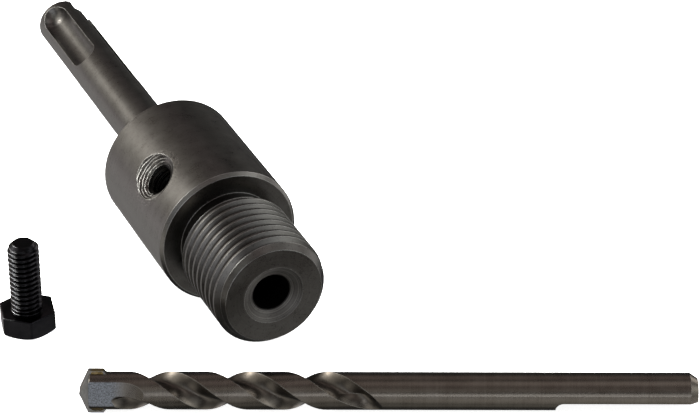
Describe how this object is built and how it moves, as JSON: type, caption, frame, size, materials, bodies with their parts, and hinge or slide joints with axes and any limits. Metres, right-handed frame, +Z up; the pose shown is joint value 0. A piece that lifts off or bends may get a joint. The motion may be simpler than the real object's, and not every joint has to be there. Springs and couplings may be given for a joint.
{
  "type": "hole saw arbor",
  "caption": "Slotted drive shank with a clamp barrel and threaded nose for core bits, laid out with its masonry pilot drill and clamp bolt.",
  "frame": {"origin": "on the arbor's axis, at the shoulder that the core bit seats against", "axes": "+X out of the threaded nose along the arbor's axis, +Z up, away from the surface that the pieces lie on"},
  "size_m": [0.1622, 0.1055, 0.027],
  "materials": {
    "arbor_steel": "satin, turned and phosphated dark grey",
    "black_oxide": "glossy black oxide",
    "drill_steel": "satin dark grey, sand-blasted at the head",
    "carbide": "ground, matt grey"
  },
  "bodies": {
    "root": {"arbor_body": "arbor_steel", "clamp_bolt": "black_oxide", "pilot_drill": "drill_steel", "carbide_tip": "carbide"}
  },
  "joints": []
}
